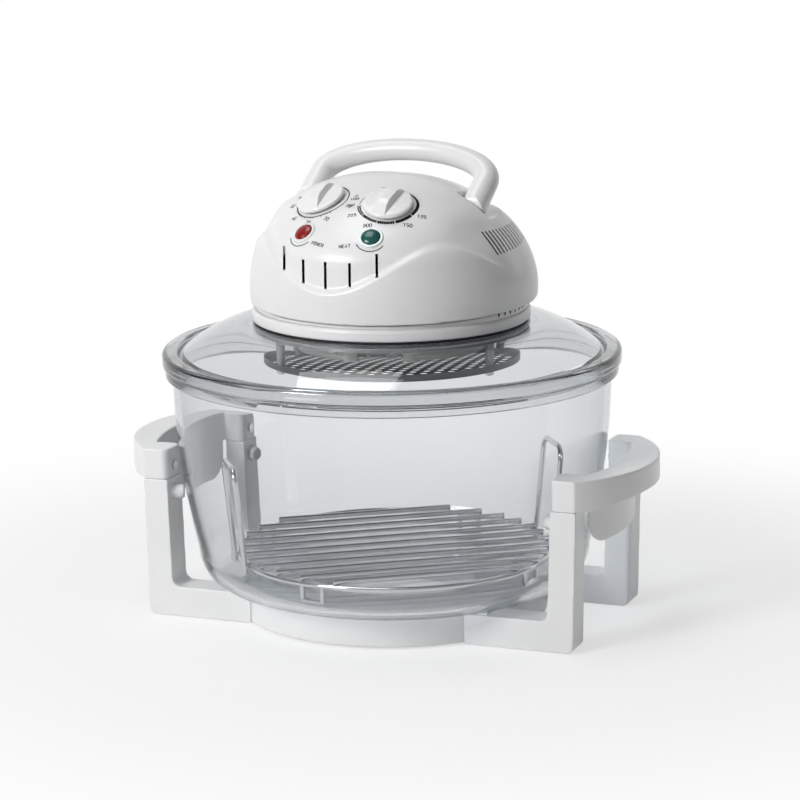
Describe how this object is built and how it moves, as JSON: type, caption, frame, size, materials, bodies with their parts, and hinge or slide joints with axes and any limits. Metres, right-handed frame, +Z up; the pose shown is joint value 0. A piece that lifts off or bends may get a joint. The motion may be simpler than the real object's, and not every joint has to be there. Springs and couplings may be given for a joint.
{
  "type": "halogen oven",
  "caption": "Countertop halogen oven: a glass bowl in a handled plastic stand with a wire rack, under a lift-off glass lid that carries the heater, fan, timer and thermostat.",
  "frame": {"origin": "on the table under the axis of the bowl, midway between the four feet", "axes": "+Z up, +X to the right along the line through the two side handles, -Y towards the user and the control panel"},
  "size_m": [0.387, 0.325, 0.3333],
  "materials": {
    "white_plastic": "satin moulded plastic",
    "white_knob": "satin moulded plastic",
    "clear_glass": "clear toughened glass",
    "steel": "plain bright steel",
    "chromed_wire": "chrome plated wire",
    "zinc_steel": "zinc coated sheet",
    "bright_sheet": "polished reflector sheet",
    "black_rubber": "matt",
    "white_rubber": "matt silicone",
    "black_plastic": "matt",
    "ivory_plastic": "matt",
    "red_lens": "clear red",
    "teal_lens": "clear teal",
    "pale_trim": "clear trim",
    "neon_amber": "lamp glass",
    "ceramic": "glazed ceramic",
    "quartz": "frosted quartz",
    "copper": "lacquered copper",
    "red_plastic": "satin"
  },
  "bodies": {
    "stand": {"base_ring": "white_plastic", "leg_front_left": "white_plastic", "leg_front_right": "white_plastic", "leg_rear_left": "white_plastic", "leg_rear_right": "white_plastic", "handle_left": "white_plastic", "handle_right": "white_plastic", "leg_screws": "steel", "handle_screws": "steel", "rubber_feet": "black_rubber", "bowl_pads": "white_rubber", "bowl_bumpers": "white_rubber"},
    "bowl": {"glass_bowl": "clear_glass"},
    "rack": {"rack_ring": "chromed_wire", "rack_bars": "chromed_wire", "rack_grips": "chromed_wire", "rack_feet": "chromed_wire"},
    "lid": {"glass_lid": "clear_glass", "lid_gasket": "black_rubber", "clamp_ring": "zinc_steel", "clamp_screws": "steel", "head_collar": "white_plastic", "base_plate": "zinc_steel", "head_housing": "white_plastic", "housing_screws": "steel", "timer_unit": "ivory_plastic", "thermostat_unit": "zinc_steel", "thermostat_bulb": "copper", "power_lens": "red_lens", "heat_lens": "teal_lens", "lens_bezels": "pale_trim", "neon_lamps": "neon_amber", "safety_switch": "black_plastic", "terminal_block": "ivory_plastic", "power_gland": "black_plastic", "pivot_pins": "steel", "reflector_pan": "bright_sheet", "halogen_tube": "quartz", "tube_caps": "ceramic", "tube_clips": "steel", "heater_guard": "steel", "guard_posts": "steel", "guard_nuts": "steel", "fan_motor": "zinc_steel", "motor_coil": "copper", "motor_bracket": "zinc_steel", "motor_screws": "steel"},
    "handle": {"carry_handle": "white_plastic"},
    "timer": {"timer_knob": "white_knob", "timer_stem": "steel"},
    "thermostat": {"thermostat_knob": "white_knob", "thermostat_stem": "steel"},
    "fan": {"motor_shaft": "steel", "cooling_fan": "black_plastic", "air_fan": "bright_sheet", "fan_nut": "steel"},
    "plunger": {"switch_plunger": "red_plastic"}
  },
  "joints": [
    {"name": "bowl_lift", "type": "slide", "parent": "stand", "child": "bowl", "axis": [0, 0, 1], "range_m": [0, 0.12]},
    {"name": "rack_lift", "type": "slide", "parent": "bowl", "child": "rack", "axis": [0, 0, 1], "range_m": [0, 0.06]},
    {"name": "lid_lift", "type": "slide", "parent": "bowl", "child": "lid", "axis": [0, 0, 1], "range_m": [0, 0.15]},
    {"name": "handle_fold", "type": "hinge", "parent": "lid", "child": "handle", "pos_m": [0.00061, 0.00547, 0.2975], "axis": [0.9938, -0.1115, 0], "range_deg": [-36, 52]},
    {"name": "timer_turn", "type": "hinge", "parent": "lid", "child": "timer", "pos_m": [-0.03159, -0.04838, 0.30087], "axis": [-0.2059, -0.3993, 0.8934], "range_deg": [-300, 0]},
    {"name": "thermostat_turn", "type": "hinge", "parent": "lid", "child": "thermostat", "pos_m": [0.02009, -0.05418, 0.30087], "axis": [0.1123, -0.435, 0.8934], "range_deg": [-270, 0]},
    {"name": "fan_spin", "type": "hinge", "parent": "lid", "child": "fan", "pos_m": [0, 0, 0.213], "axis": [0, 0, 1], "continuous": true},
    {"name": "switch_press", "type": "slide", "parent": "lid", "child": "plunger", "axis": [0, 0, -1], "range_m": [0, 0.0015], "stiffness_N_per_m": 300}
  ]
}
